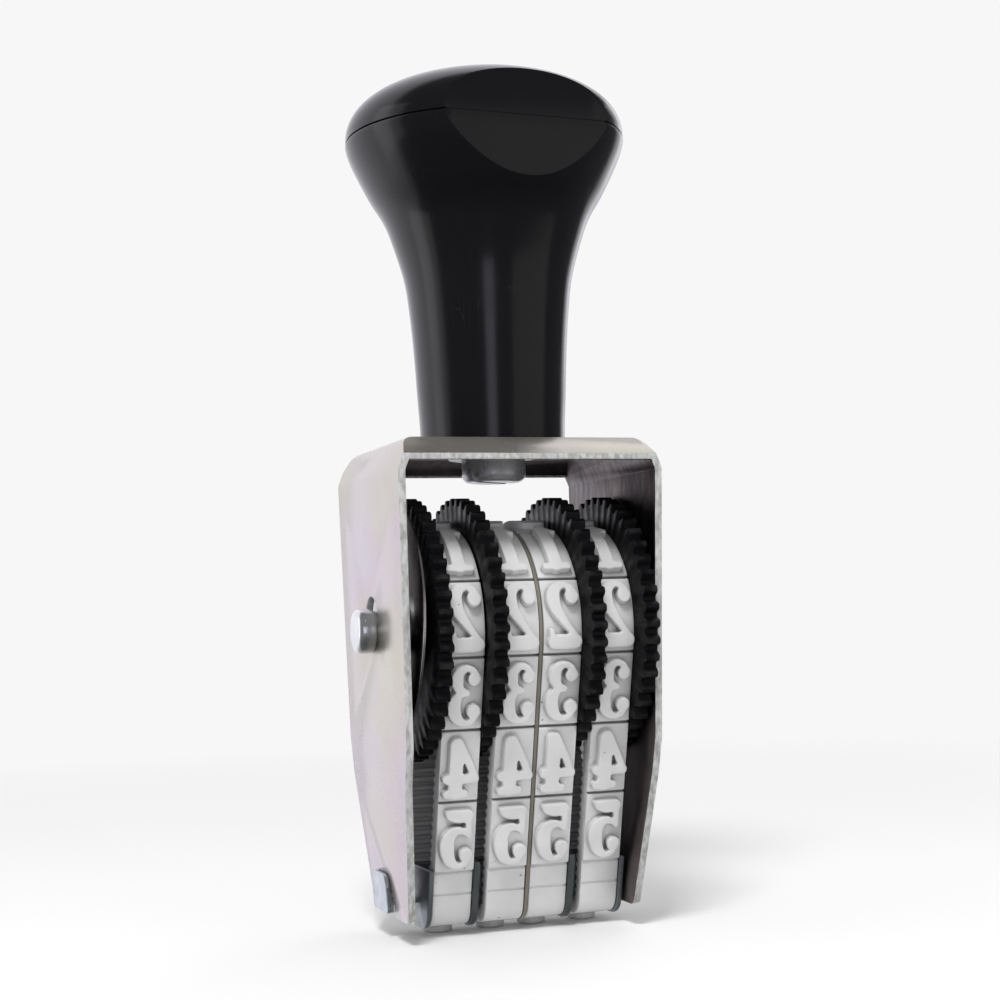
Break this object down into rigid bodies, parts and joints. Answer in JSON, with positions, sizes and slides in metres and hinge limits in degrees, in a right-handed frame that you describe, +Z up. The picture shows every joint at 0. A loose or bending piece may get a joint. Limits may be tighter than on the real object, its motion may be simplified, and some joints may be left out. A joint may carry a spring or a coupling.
{
  "type": "numbering hand stamp",
  "caption": "Hand stamp with endless rubber number bands set by toothed wheels in a folded sheet-metal frame under a turned knob with a flat front.",
  "frame": {"origin": "The middle of the footprint of the bounding box, on the plane the raised type prints on. The knob's axis and the axle stand 0.875 mm towards the front of it, because the knob's front is cut flat.", "axes": "+Z runs up from the print plane along the knob's axis. +X runs along the axle to the right as seen from the front. -Y is the front, the side with the knob's flat."},
  "size_m": [0.0426, 0.0388, 0.1222],
  "materials": {
    "frame": "bright zinc plate with a faint yellow and pink passivation",
    "axle": "turned and plated",
    "spring_steel": "bright spring sheet",
    "wheel": "satin black moulding",
    "band": "light grey moulded rubber",
    "divider": "dull plated sheet",
    "separator": "dull plated sheet",
    "platen": "folded plated sheet",
    "handle": "polished black moulding with fine scratches",
    "insert": "knurled insert, hidden in the knob",
    "screw": "plated screw and toothed washer"
  },
  "bodies": {
    "stamp_body": {"frame": "frame", "axle": "axle", "spring_disc": "spring_steel", "thrust_washer": "spring_steel", "band_1": "band", "band_2": "band", "band_3": "band", "band_4": "band", "band_divider": "divider", "separator_left": "separator", "separator_right": "separator", "platen": "platen", "handle_body": "handle", "handle_cap": "handle", "handle_insert": "insert", "handle_screw": "screw", "lock_washer": "screw"},
    "wheel_1": {"wheel_1": "wheel"},
    "wheel_2": {"wheel_2": "wheel"},
    "wheel_3": {"wheel_3": "wheel"},
    "wheel_4": {"wheel_4": "wheel"}
  },
  "joints": [
    {"name": "wheel_1_turn", "type": "hinge", "parent": "stamp_body", "child": "wheel_1", "pos_m": [0, -0.00088, 0.0425], "axis": [1, 0, 0], "continuous": true},
    {"name": "wheel_2_turn", "type": "hinge", "parent": "stamp_body", "child": "wheel_2", "pos_m": [0, -0.00088, 0.0425], "axis": [1, 0, 0], "continuous": true},
    {"name": "wheel_3_turn", "type": "hinge", "parent": "stamp_body", "child": "wheel_3", "pos_m": [0, -0.00088, 0.0425], "axis": [1, 0, 0], "continuous": true},
    {"name": "wheel_4_turn", "type": "hinge", "parent": "stamp_body", "child": "wheel_4", "pos_m": [0, -0.00088, 0.0425], "axis": [1, 0, 0], "continuous": true}
  ]
}
